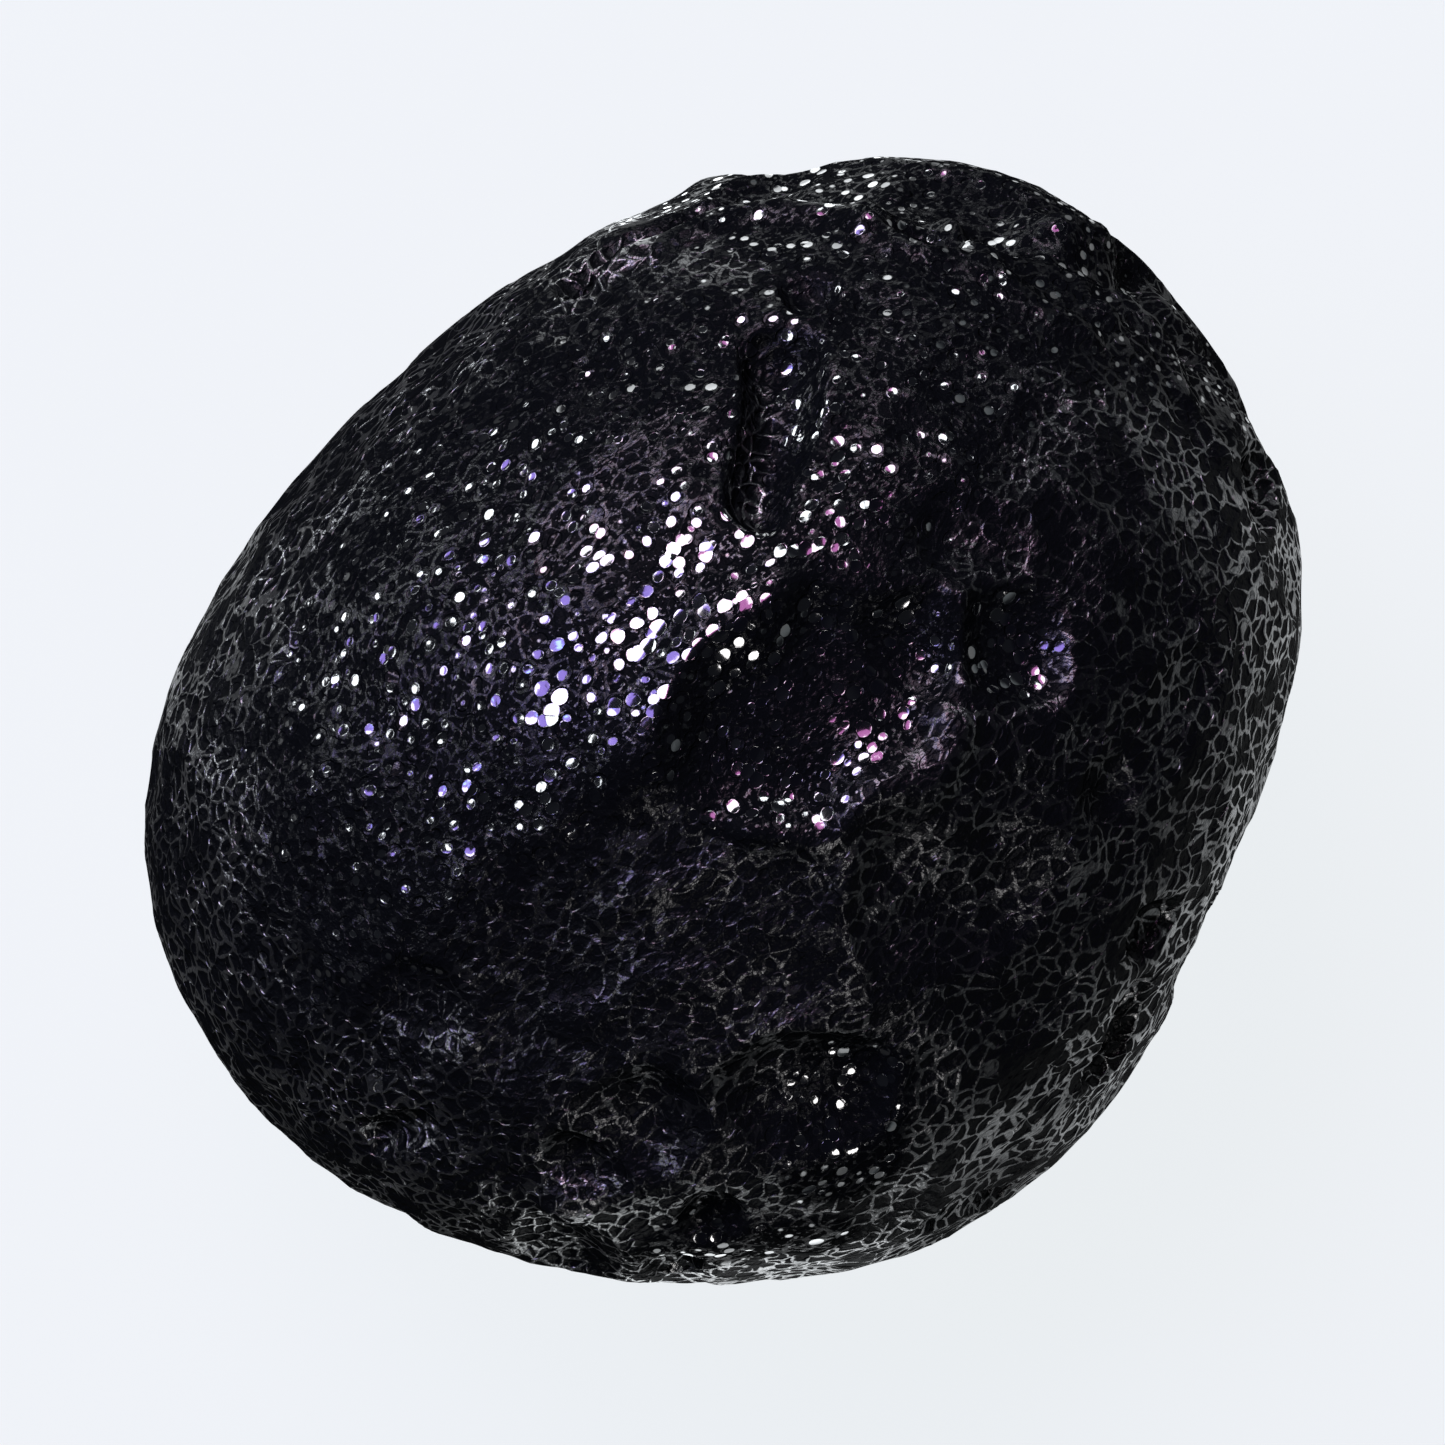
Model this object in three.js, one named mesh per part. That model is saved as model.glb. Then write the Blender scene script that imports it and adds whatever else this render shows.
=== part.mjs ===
// A tektite: one lump of black natural glass, rounded while molten and then etched all over
// by the soil into pits, hollows and grooves. It is a single solid piece.
//
// Millimetres, +Z up. The stone lies on its broad side. +X runs along it to the knobby end,
// and the origin is on the ground, under the middle of the stone.

import * as THREE from 'three';
import { mergeVertices } from 'three/addons/utils/BufferGeometryUtils.js';

// ---------------------------------------------------------------- driving dimensions

const LENGTH = 55; // along X
const WIDTH = 46; // along Y
const HEIGHT = 39; // along Z
const FOOT_WEAR = 0.35; // depth of the flat worn spot that the stone rests on

const FACE_SPLITS = 21; // how finely the surface is faceted: 20 * (FACE_SPLITS + 1)^2 triangles

const GLASS_COLOUR = 0x0b0c0e;
const GLASS_ROUGHNESS = 0.2;

// ---------------------------------------------------------------- the broad form

// The plain form is an oval a little squarer than an ellipsoid: 2 would be an ellipsoid.
const OVAL_POWER = 2.2;

// Broad swellings (rise > 0) and flattened sides (rise < 0). Each one points from the middle
// of the stone, azimuth from +X towards +Y and elevation from the widest girth towards the
// top, in degrees. It reaches `spread` degrees to each side and stands `rise` mm proud.
const SWELLINGS = [
  { azimuth: 20, elevation: 5, spread: 19, rise: 1.2 }, // shoulder of the knobby end
  { azimuth: 150, elevation: 2, spread: 32, rise: 1.6 }, // full shoulder of the smooth end
  { azimuth: 204, elevation: -5, spread: 15, rise: -3.3 }, // pinched corner
  { azimuth: 209, elevation: -4, spread: 8, rise: -0.9 }, // bay beside the pinched corner
  { azimuth: 226, elevation: 8, spread: 16, rise: -1.2 }, // flank beside the pinched corner
  { azimuth: 306, elevation: 0, spread: 27, rise: -2.9 }, // long flattened flank
  { azimuth: 328, elevation: -4, spread: 13, rise: -0.7 }, // end of that flank
  { azimuth: 0, elevation: 90, spread: 32, rise: 1.2 }, // dome on top
  { azimuth: 95, elevation: 55, spread: 30, rise: 0.3 }, // full side of the top
  { azimuth: 285, elevation: 50, spread: 28, rise: -0.8 }, // sunk side of the top
  { azimuth: 60, elevation: -50, spread: 26, rise: -0.9 }, // flattened part of the belly
  { azimuth: 190, elevation: -48, spread: 28, rise: 0.6 }, // swollen part of the belly
];

// ---------------------------------------------------------------- the relief

// A mark follows a path of one or more [x, y] points, seen in plan, on the top or under the
// stone. It fades out `reach` mm from that path. Points past the stone's edge sit on its rim.

// Hollows with a crisp lip, left where a bubble or a round of etching bit into the glass.
const HOLLOWS = [
  // the three scallops that run across the top
  { side: 'top', path: [[-0.4, -0.6], [4.2, 0.0]], reach: 4.6, depth: 1.3 },
  { side: 'top', path: [[7.6, -0.8]], reach: 3.0, depth: 1.5 },
  { side: 'top', path: [[11.2, -3.9]], reach: 2.8, depth: 1.1 },
  // the slot, and the small pit and the round pit beyond it
  { side: 'top', path: [[12.3, 11.7], [7.3, 7.9]], reach: 1.7, depth: 1.6 },
  { side: 'top', path: [[14.9, 13.0]], reach: 1.2, depth: 0.9 },
  { side: 'top', path: [[21.1, 11.8]], reach: 1.9, depth: 2.0 },
  // the ledge round the knobby end, and the long groove that opens into it
  { side: 'top', path: [[18.4, 17.6], [21.8, 14.2], [24.4, 10.0]], reach: 3.4, depth: 1.5 },
  { side: 'top', path: [[24.4, 10.0], [26.6, 6.0], [27.6, 0.0], [26.2, -6.5]], reach: 2.9, depth: 1.2 },
  { side: 'top', path: [[8.5, 20.3], [11.3, 19.8], [14.1, 19.0], [17.4, 17.2]], reach: 1.7, depth: 1.7 },
  { side: 'top', path: [[25.2, 8.3]], reach: 1.5, depth: 1.5 },
  { side: 'top', path: [[26.4, 1.0]], reach: 1.8, depth: 1.6 },
  { side: 'top', path: [[24.6, -6.6]], reach: 2.1, depth: 1.4 },
  { side: 'top', path: [[27.6, 3.6]], reach: 2.0, depth: 1.5 },
  { side: 'top', path: [[26.9, -3.6]], reach: 2.3, depth: 1.7 },
  // broad shallow bowls round the scallops
  { side: 'top', path: [[-12.0, -2.6], [-7.0, -3.2]], reach: 7.0, depth: 0.9 },
  { side: 'top', path: [[12.8, 0.4]], reach: 2.6, depth: 0.5 },
  { side: 'top', path: [[0.6, -9.6], [3.4, -11.2]], reach: 3.4, depth: 0.6 },
  // the cluster of bowls at the lower edge
  { side: 'top', path: [[-15.0, -8.3]], reach: 3.2, depth: 1.3 },
  { side: 'top', path: [[-18.4, -7.7]], reach: 1.8, depth: 0.9 },
  { side: 'top', path: [[-9.9, -11.3], [-8.5, -12.6]], reach: 3.3, depth: 1.3 },
  { side: 'top', path: [[-16.0, -13.7]], reach: 1.9, depth: 1.1 },
  { side: 'top', path: [[-18.7, -14.4]], reach: 1.5, depth: 0.9 },
  // notches and grooves in the flattened flank
  { side: 'top', path: [[8.4, -19.8]], reach: 2.8, depth: 1.3 },
  { side: 'top', path: [[7.3, -17.4]], reach: 1.6, depth: 1.0 },
  { side: 'top', path: [[4.4, -19.0], [1.2, -20.6]], reach: 1.1, depth: 0.8 },
  { side: 'top', path: [[-8.8, -20.4], [-5.6, -21.9]], reach: 1.2, depth: 0.8 },
  { side: 'top', path: [[9.4, -11.7]], reach: 2.0, depth: 0.6 },
  { side: 'top', path: [[15.6, -10.4]], reach: 2.2, depth: 0.5 },
  // shallow marks at the smooth end
  { side: 'top', path: [[-24.6, -1.2], [-22.8, -2.6]], reach: 1.1, depth: 0.9 },
  { side: 'top', path: [[-18.5, 1.9]], reach: 2.2, depth: 0.6 },
  { side: 'top', path: [[-22.0, -10.6]], reach: 3.2, depth: 0.9 },
  // under the stone: scallops, a winding groove and round pits, all clear of its foot
  { side: 'under', path: [[-15.0, 7.5], [-11.5, 10.5]], reach: 4.6, depth: 1.3 },
  { side: 'under', path: [[-17.5, 1.0]], reach: 3.0, depth: 0.9 },
  { side: 'under', path: [[13.5, -9.5]], reach: 4.2, depth: 1.4 },
  { side: 'under', path: [[17.5, -4.5]], reach: 2.6, depth: 1.0 },
  { side: 'under', path: [[1.0, 15.5], [6.5, 14.5], [11.5, 10.5], [17.5, 9.5]], reach: 1.5, depth: 1.2 },
  { side: 'under', path: [[-6.5, -13.0], [-1.0, -15.5], [4.5, -14.5]], reach: 1.4, depth: 1.0 },
  { side: 'under', path: [[-14.0, -9.5]], reach: 1.9, depth: 1.3 },
  { side: 'under', path: [[21.5, 3.0]], reach: 1.8, depth: 1.2 },
  { side: 'under', path: [[-3.5, 18.0]], reach: 2.0, depth: 0.9 },
];

// Soft lumps and the low crests that edge the hollows.
const RIDGES = [
  { side: 'top', path: [[26.0, 7.8], [26.9, 6.0]], reach: 2.4, height: 1.7 }, // the knob
  { side: 'top', path: [[19.6, 17.0], [21.8, 15.0]], reach: 2.4, height: 0.6 }, // lump beside it
  { side: 'top', path: [[20.3, 14.3]], reach: 1.5, height: 0.8 },
  { side: 'top', path: [[23.2, 11.1]], reach: 1.6, height: 0.9 },
  { side: 'top', path: [[24.2, 3.9]], reach: 1.4, height: 0.6 },
  { side: 'top', path: [[27.7, 1.4], [27.6, -0.2]], reach: 2.2, height: 0.9 },
  { side: 'top', path: [[-2.8, -3.0], [0.2, -4.6], [3.8, -5.7], [6.6, -5.2]], reach: 1.6, height: 0.5 },
  { side: 'top', path: [[-5.4, 2.8], [0.2, 4.3], [5.0, 4.6]], reach: 2.4, height: 0.5 },
  { side: 'top', path: [[9.3, 19.5], [13.1, 18.3], [16.8, 16.4], [18.8, 13.2]], reach: 1.2, height: 0.6 },
  { side: 'top', path: [[18.8, 13.2], [19.9, 10.9], [21.7, 7.8], [22.4, 3.9]], reach: 1.2, height: 0.5 },
  { side: 'top', path: [[25.9, 3.6], [24.9, -0.7], [24.0, -3.8]], reach: 1.2, height: 0.5 },
  { side: 'top', path: [[9.6, -3.0], [9.8, -1.2]], reach: 1.3, height: 0.4 },
  { side: 'top', path: [[-10.5, -0.4], [-8.0, -1.1], [-5.3, -2.6]], reach: 1.3, height: 0.25 },
  { side: 'top', path: [[-14.9, -3.2], [-12.3, -3.9], [-9.2, -5.3]], reach: 1.3, height: 0.25 },
  { side: 'top', path: [[-20.4, -8.8]], reach: 1.9, height: 0.7 },
  { side: 'top', path: [[-18.7, -16.6]], reach: 3.0, height: 0.7 }, // bump on the outline
  { side: 'top', path: [[15.6, 19.8]], reach: 2.6, height: 0.6 },
  { side: 'under', path: [[-9.0, 5.0], [-15.5, 3.5]], reach: 2.0, height: 0.5 },
  { side: 'under', path: [[10.5, -15.0], [16.0, -12.0]], reach: 2.2, height: 0.6 },
];

// A bowl's depth falls off from its middle to its lip by this power. 2 is an even dish, and
// more has a flatter floor and a steeper wall.
const HOLLOW_POWER = 2.5;
const DIMPLE_POWER = 2;

// The lips of the marks stray from their plain outlines in slow waves.
const WANDER = { size: 0.3, wavelength: 11 };

// Shallow dimples spread evenly over the whole stone, with small random shifts.
const DIMPLE_COUNT = 330;
const DIMPLE_REACH = { least: 1.7, most: 3.1 };
const DIMPLE_STEEPNESS = 0.13; // depth as a share of reach
const DIMPLE_SHIFT = 0.12; // largest random shift, as a share of the stone's radius

// The dimples fade out round these places.
const CALM_SPOTS = [
  { side: 'top', path: [[-4, 9]], reach: 17, fade: 0.75 }, // the smooth dome
  { side: 'under', path: [[0, 0]], reach: 8, fade: 1 }, // the worn foot
];

// ---------------------------------------------------------------- geometry helpers

const GOLDEN_ANGLE = Math.PI * (3 - Math.sqrt(5));
const HALF = new THREE.Vector3(LENGTH, WIDTH, HEIGHT).multiplyScalar(0.5);

function directionAt(azimuth, elevation) {
  const polar = THREE.MathUtils.degToRad(90 - elevation);
  const turn = THREE.MathUtils.degToRad(azimuth);
  const flat = Math.sin(polar);
  return new THREE.Vector3(flat * Math.cos(turn), flat * Math.sin(turn), Math.cos(polar));
}

// A repeatable number from 0 to 1 for the whole numbers `index` and `stream`.
function scatter(index, stream) {
  const wave = Math.sin(index * 12.9898 + stream * 78.233) * 43758.5453;
  return wave - Math.floor(wave);
}

// Distance from the stone's middle to the plain form, in a unit direction.
function formRadius(direction) {
  const sum = Math.pow(Math.abs(direction.x) / HALF.x, OVAL_POWER)
    + Math.pow(Math.abs(direction.y) / HALF.y, OVAL_POWER)
    + Math.pow(Math.abs(direction.z) / HALF.z, OVAL_POWER);
  let radius = Math.pow(sum, -1 / OVAL_POWER);
  for (const swelling of SWELLINGS) {
    const centre = directionAt(swelling.azimuth, swelling.elevation);
    const away = THREE.MathUtils.radToDeg(direction.angleTo(centre)) / swelling.spread;
    radius += swelling.rise * Math.exp(-away * away);
  }
  return radius;
}

// The point of the plain form that lies above or below the plan position x, y.
function pointOnForm([x, y], side) {
  const azimuth = THREE.MathUtils.radToDeg(Math.atan2(y, x));
  const sign = side === 'top' ? 1 : -1;
  const wanted = Math.hypot(x, y);
  let low = 0;
  let high = 90;
  for (let step = 0; step < 30; step += 1) {
    const elevation = (low + high) / 2;
    const flat = Math.cos(THREE.MathUtils.degToRad(elevation));
    const reached = flat * formRadius(directionAt(azimuth, sign * elevation));
    if (reached > wanted) {
      low = elevation;
    } else {
      high = elevation;
    }
  }
  const direction = directionAt(azimuth, sign * low);
  return direction.clone().multiplyScalar(formRadius(direction));
}

function distanceToPath(point, path) {
  if (path.length === 1) {
    return point.distanceTo(path[0]);
  }
  const nearest = new THREE.Vector3();
  let least = Infinity;
  for (let index = 1; index < path.length; index += 1) {
    const stretch = new THREE.Line3(path[index - 1], path[index]);
    stretch.closestPointToPoint(point, true, nearest);
    least = Math.min(least, nearest.distanceTo(point));
  }
  return least;
}

function placeMark(mark) {
  return { ...mark, path: mark.path.map((place) => pointOnForm(place, mark.side)) };
}

function placeDimples() {
  const dimples = [];
  for (let index = 0; index < DIMPLE_COUNT; index += 1) {
    const z = 1 - (2 * index + 1) / DIMPLE_COUNT;
    const flat = Math.sqrt(1 - z * z);
    const turn = index * GOLDEN_ANGLE;
    const direction = new THREE.Vector3(flat * Math.cos(turn), flat * Math.sin(turn), z);
    direction.x += DIMPLE_SHIFT * (2 * scatter(index, 1) - 1);
    direction.y += DIMPLE_SHIFT * (2 * scatter(index, 2) - 1);
    direction.z += DIMPLE_SHIFT * (2 * scatter(index, 3) - 1);
    direction.normalize();
    const at = direction.clone().multiplyScalar(formRadius(direction));
    const reach = THREE.MathUtils.lerp(DIMPLE_REACH.least, DIMPLE_REACH.most, scatter(index, 4));
    dimples.push({ path: [at], reach, depth: reach * DIMPLE_STEEPNESS });
  }
  return dimples;
}

// Shifts a point by slow waves, so that marks measured from it have uneven lips.
function wander(point) {
  const pace = (2 * Math.PI) / WANDER.wavelength;
  const shift = new THREE.Vector3(
    Math.sin(pace * (point.y + 0.6 * point.z)) + Math.sin(pace * (1.7 * point.z - point.x)),
    Math.sin(pace * (point.z + 0.6 * point.x)) + Math.sin(pace * (1.7 * point.x - point.y)),
    Math.sin(pace * (point.x + 0.6 * point.y)) + Math.sin(pace * (1.7 * point.y - point.z)),
  );
  return shift.multiplyScalar(WANDER.size).add(point);
}

// How much of the dimples' depth is left at a point: 1 is all of it.
function dimpleShare(point, calmSpots) {
  let share = 1;
  for (const spot of calmSpots) {
    const away = distanceToPath(point, spot.path) / spot.reach;
    share *= 1 - spot.fade * Math.exp(-away * away);
  }
  return share;
}

// The deepest of the overlapping bowls, so that a crisp lip stays where two of them meet.
function deepestBowl(point, bowls, power) {
  let deepest = 0;
  for (const bowl of bowls) {
    const away = distanceToPath(point, bowl.path) / bowl.reach;
    if (away < 1) {
      deepest = Math.max(deepest, bowl.depth * (1 - away ** power));
    }
  }
  return deepest;
}

function ridgeHeight(point, ridges) {
  let height = 0;
  for (const ridge of ridges) {
    const away = distanceToPath(point, ridge.path) / ridge.reach;
    if (away < 1) {
      height += ridge.height * (1 - away * away) ** 2;
    }
  }
  return height;
}

// ---------------------------------------------------------------- the stone

function makeStoneGeometry() {
  const geometry = new THREE.IcosahedronGeometry(1, FACE_SPLITS);
  geometry.deleteAttribute('normal');
  geometry.deleteAttribute('uv');
  const stone = mergeVertices(geometry);

  const hollows = HOLLOWS.map(placeMark);
  const ridges = RIDGES.map(placeMark);
  const dimples = placeDimples();
  const calmSpots = CALM_SPOTS.map(placeMark);
  const footLevel = formRadius(directionAt(0, -90)) - FOOT_WEAR;

  const position = stone.getAttribute('position');
  const point = new THREE.Vector3();
  for (let index = 0; index < position.count; index += 1) {
    const direction = point.fromBufferAttribute(position, index).normalize().clone();
    const radius = formRadius(direction);
    point.copy(direction).multiplyScalar(radius);
    const strayed = wander(point);
    const hollowing = deepestBowl(strayed, hollows, HOLLOW_POWER);
    const dimpling = deepestBowl(strayed, dimples, DIMPLE_POWER) * dimpleShare(point, calmSpots);
    const relief = ridgeHeight(strayed, ridges) - hollowing - dimpling;
    point.copy(direction).multiplyScalar(radius + relief);
    point.z = Math.max(point.z, -footLevel);
    position.setXYZ(index, point.x, point.y, point.z);
  }
  return stone;
}

// Brings the shape to its exact length, width and height, standing on the ground.
function fitToSize(geometry) {
  geometry.computeBoundingBox();
  const middle = geometry.boundingBox.getCenter(new THREE.Vector3());
  const size = geometry.boundingBox.getSize(new THREE.Vector3());
  geometry.translate(-middle.x, -middle.y, -geometry.boundingBox.min.z);
  geometry.scale(LENGTH / size.x, WIDTH / size.y, HEIGHT / size.z);
  geometry.computeVertexNormals();
  return geometry;
}

const blackGlass = new THREE.MeshStandardMaterial({
  name: 'black_glass',
  color: GLASS_COLOUR,
  roughness: GLASS_ROUGHNESS,
  metalness: 0,
});

const tektite = new THREE.Mesh(fitToSize(makeStoneGeometry()), blackGlass);
tektite.name = 'tektite';

const part = new THREE.Group();
part.add(tektite);

export default part;
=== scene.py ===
"""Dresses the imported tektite: the whole etched surface of the stone, and a plain studio.

The glass shows two finishes. The floors of small round pits and the crests between packed dents
are clean glossy glass, and the etched skin between them is matt and black.

The file is laid out as an add-on and run as a script. The scene is in metres. The stone's own
marks are given in millimetres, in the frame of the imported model: +X runs along the stone to its
knobby end, +Z is up, and the origin is on the ground under the stone's middle.
"""

import math

import bpy
import numpy as np
from bpy.props import FloatProperty, FloatVectorProperty, IntProperty, PointerProperty
from mathutils import Euler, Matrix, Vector


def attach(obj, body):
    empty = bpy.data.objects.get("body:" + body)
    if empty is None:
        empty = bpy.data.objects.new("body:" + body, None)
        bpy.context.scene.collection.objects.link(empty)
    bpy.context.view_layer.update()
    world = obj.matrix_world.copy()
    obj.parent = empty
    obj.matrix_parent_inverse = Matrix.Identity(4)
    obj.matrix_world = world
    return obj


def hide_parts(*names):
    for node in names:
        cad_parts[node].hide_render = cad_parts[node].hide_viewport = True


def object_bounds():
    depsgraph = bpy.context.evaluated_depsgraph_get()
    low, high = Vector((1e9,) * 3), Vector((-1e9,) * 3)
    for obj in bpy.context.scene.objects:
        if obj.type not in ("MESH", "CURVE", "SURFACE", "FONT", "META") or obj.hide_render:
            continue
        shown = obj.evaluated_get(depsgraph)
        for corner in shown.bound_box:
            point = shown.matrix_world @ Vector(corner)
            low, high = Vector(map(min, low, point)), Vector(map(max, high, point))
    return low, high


bl_info = {
    "name": "Tektite",
    "version": (1, 0, 0),
    "blender": (4, 5, 0),
    "location": "3D View > Sidebar > Tektite",
    "description": "Builds the etched surface of a tektite and a plain studio round it",
    "category": "Object",
}

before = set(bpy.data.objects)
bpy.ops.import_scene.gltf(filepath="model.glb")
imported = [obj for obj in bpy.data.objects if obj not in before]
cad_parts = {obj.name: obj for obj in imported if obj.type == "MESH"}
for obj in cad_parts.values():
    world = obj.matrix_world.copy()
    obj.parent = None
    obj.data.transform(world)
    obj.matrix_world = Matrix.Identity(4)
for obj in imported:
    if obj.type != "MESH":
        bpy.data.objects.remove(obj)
CAD_LOW, CAD_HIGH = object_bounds()

NODE = "tektite"
BODY = "root"
MM = 0.001  # one millimetre in metres

# ------------------------------------------------------------------ the broad form, in mm

LENGTH, WIDTH, HEIGHT = 55.0, 46.0, 39.0
HALF = np.array((LENGTH, WIDTH, HEIGHT)) / 2
OVAL_POWER = 2.2  # 2 would be a plain ellipsoid, and more is squarer

# Broad swellings and flattened sides: azimuth and elevation from the middle of the stone and
# how far round they spread, in degrees, then how proud they stand.
SWELLINGS = (
    (20, 5, 19, 1.2),  # shoulder of the knobby end
    (150, 2, 32, 1.6),  # full shoulder of the smooth end
    (204, -5, 15, -3.3),  # pinched corner
    (209, -4, 8, -0.9),  # bay beside the pinched corner
    (226, 8, 16, -1.2),  # flank beside the pinched corner
    (306, 0, 27, -2.9),  # long flattened flank
    (328, -4, 13, -0.7),  # end of that flank
    (0, 90, 32, 1.2),  # dome on top
    (95, 55, 30, 0.3),  # full side of the top
    (285, 50, 28, -0.8),  # sunk side of the top
    (60, -50, 26, -0.9),  # flattened part of the belly
    (190, -48, 28, 0.6),  # swollen part of the belly
)

# ------------------------------------------------------------------ the marks, in mm

# A mark lies on the top or under the stone, along a path of one or more places seen in plan.
# It fades out `reach` from that path. The last number is its depth, or a ridge's height.
SCALLOPS = (
    ("top", ((-0.4, -0.6), (4.2, 0.0)), 4.6, 1.3),
    ("top", ((7.6, -0.8),), 3.0, 1.5),
    ("top", ((11.2, -3.9),), 2.8, 1.1),
)
SLOT = ("top", ((12.3, 11.7), (7.3, 7.9)), 1.7, 1.6)
HOLLOWS = (
    # the three scallops that run across the top, and the slot
    *SCALLOPS,
    SLOT,
    # the small pit and the round pit beyond the slot
    ("top", ((14.9, 13.0),), 1.2, 0.9),
    ("top", ((21.1, 11.8),), 1.9, 2.0),
    # the ledge round the knobby end, and the long groove that opens into it
    ("top", ((18.4, 17.6), (21.8, 14.2), (24.4, 10.0)), 3.4, 1.5),
    ("top", ((24.4, 10.0), (26.6, 6.0), (27.6, 0.0), (26.2, -6.5)), 2.9, 1.2),
    ("top", ((8.5, 20.3), (11.3, 19.8), (14.1, 19.0), (17.4, 17.2)), 1.7, 1.7),
    ("top", ((25.2, 8.3),), 1.5, 1.5),
    ("top", ((26.4, 1.0),), 1.8, 1.6),
    ("top", ((24.6, -6.6),), 2.1, 1.4),
    ("top", ((27.6, 3.6),), 2.0, 1.5),
    ("top", ((26.9, -3.6),), 2.3, 1.7),
    # broad shallow bowls round the scallops
    ("top", ((-12.0, -2.6), (-7.0, -3.2)), 7.0, 0.9),
    ("top", ((12.8, 0.4),), 2.6, 0.5),
    ("top", ((0.6, -9.6), (3.4, -11.2)), 3.4, 0.6),
    # the cluster of bowls at the lower edge
    ("top", ((-15.0, -8.3),), 3.2, 1.3),
    ("top", ((-18.4, -7.7),), 1.8, 0.9),
    ("top", ((-9.9, -11.3), (-8.5, -12.6)), 3.3, 1.3),
    ("top", ((-16.0, -13.7),), 1.9, 1.1),
    ("top", ((-18.7, -14.4),), 1.5, 0.9),
    # notches and grooves in the flattened flank
    ("top", ((8.4, -19.8),), 2.8, 1.3),
    ("top", ((7.3, -17.4),), 1.6, 1.0),
    ("top", ((4.4, -19.0), (1.2, -20.6)), 1.1, 0.8),
    ("top", ((-8.8, -20.4), (-5.6, -21.9)), 1.2, 0.8),
    ("top", ((9.4, -11.7),), 2.0, 0.6),
    ("top", ((15.6, -10.4),), 2.2, 0.5),
    # shallow marks at the smooth end
    ("top", ((-24.6, -1.2), (-22.8, -2.6)), 1.1, 0.9),
    ("top", ((-18.5, 1.9),), 2.2, 0.6),
    ("top", ((-22.0, -10.6),), 3.2, 0.9),
    # under the stone: scallops, a winding groove and round pits, all clear of its foot
    ("under", ((-15.0, 7.5), (-11.5, 10.5)), 4.6, 1.3),
    ("under", ((-17.5, 1.0),), 3.0, 0.9),
    ("under", ((13.5, -9.5),), 4.2, 1.4),
    ("under", ((17.5, -4.5),), 2.6, 1.0),
    ("under", ((1.0, 15.5), (6.5, 14.5), (11.5, 10.5), (17.5, 9.5)), 1.5, 1.2),
    ("under", ((-6.5, -13.0), (-1.0, -15.5), (4.5, -14.5)), 1.4, 1.0),
    ("under", ((-14.0, -9.5),), 1.9, 1.3),
    ("under", ((21.5, 3.0),), 1.8, 1.2),
    ("under", ((-3.5, 18.0),), 2.0, 0.9),
)

RIDGES = (
    ("top", ((26.0, 7.8), (26.9, 6.0)), 2.4, 1.7),  # the knob
    ("top", ((19.6, 17.0), (21.8, 15.0)), 2.4, 0.6),  # lump beside it
    ("top", ((20.3, 14.3),), 1.5, 0.8),
    ("top", ((23.2, 11.1),), 1.6, 0.9),
    ("top", ((24.2, 3.9),), 1.4, 0.6),
    ("top", ((27.7, 1.4), (27.6, -0.2)), 2.2, 0.9),
    ("top", ((-2.8, -3.0), (0.2, -4.6), (3.8, -5.7), (6.6, -5.2)), 1.6, 0.5),
    ("top", ((-5.4, 2.8), (0.2, 4.3), (5.0, 4.6)), 2.4, 0.5),
    ("top", ((9.3, 19.5), (13.1, 18.3), (16.8, 16.4), (18.8, 13.2)), 1.2, 0.6),
    ("top", ((18.8, 13.2), (19.9, 10.9), (21.7, 7.8), (22.4, 3.9)), 1.2, 0.5),
    ("top", ((25.9, 3.6), (24.9, -0.7), (24.0, -3.8)), 1.2, 0.5),
    ("top", ((9.6, -3.0), (9.8, -1.2)), 1.3, 0.4),
    ("top", ((-10.5, -0.4), (-8.0, -1.1), (-5.3, -2.6)), 1.3, 0.25),
    ("top", ((-14.9, -3.2), (-12.3, -3.9), (-9.2, -5.3)), 1.3, 0.25),
    ("top", ((-20.4, -8.8),), 1.9, 0.7),
    ("top", ((-18.7, -16.6),), 3.0, 0.7),  # bump on the outline
    ("top", ((15.6, 19.8),), 2.6, 0.6),
    ("under", ((-9.0, 5.0), (-15.5, 3.5)), 2.0, 0.5),
    ("under", ((10.5, -15.0), (16.0, -12.0)), 2.2, 0.6),
)

# The lips of the marks stray from their plain outlines in slow waves.
WANDER_SIZE, WANDER_LENGTH = 0.3, 11.0

# Shallow dimples spread evenly over the whole stone, with small random shifts.
DIMPLE_COUNT = 330
DIMPLE_REACH = (1.7, 3.1)
DIMPLE_STEEPNESS = 0.13  # depth as a share of reach
DIMPLE_SHIFT = 0.12  # largest random shift, as a share of the stone's radius

HOLLOW_POWER = 2.5  # a hollow's floor is flatter and its wall steeper than a plain bowl's
DIMPLE_POWER = 2.0  # a dimple is a plain bowl

# The dimples fade out round these places: side, path, reach and how far they fade.
CALM_SPOTS = (
    ("top", ((-4.0, 9.0),), 17.0, 0.75),  # the smooth dome
    ("under", ((0.0, 0.0),), 8.0, 1.0),  # the worn foot
)

GOLDEN_ANGLE = math.pi * (3 - math.sqrt(5))

# ------------------------------------------------------------------ where the glass is glossy

# Each pair says where a change begins and where it is complete.
LIT_SIDE_PLACES = (-1.0, 5.0)  # from the side of the top away from the lights to the side that faces them, by Y in mm
SUNK_DEPTHS = (0.15, 0.55)  # from open skin to the inside of a scallop, by depth in mm
GIRTH_RISES = (0.75, 0.3)  # from the top or the belly to the girth, by the sine of elevation
LEANING_RISES = (0.97, 0.8)  # from the flat top to skin that leans, the same way
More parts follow.
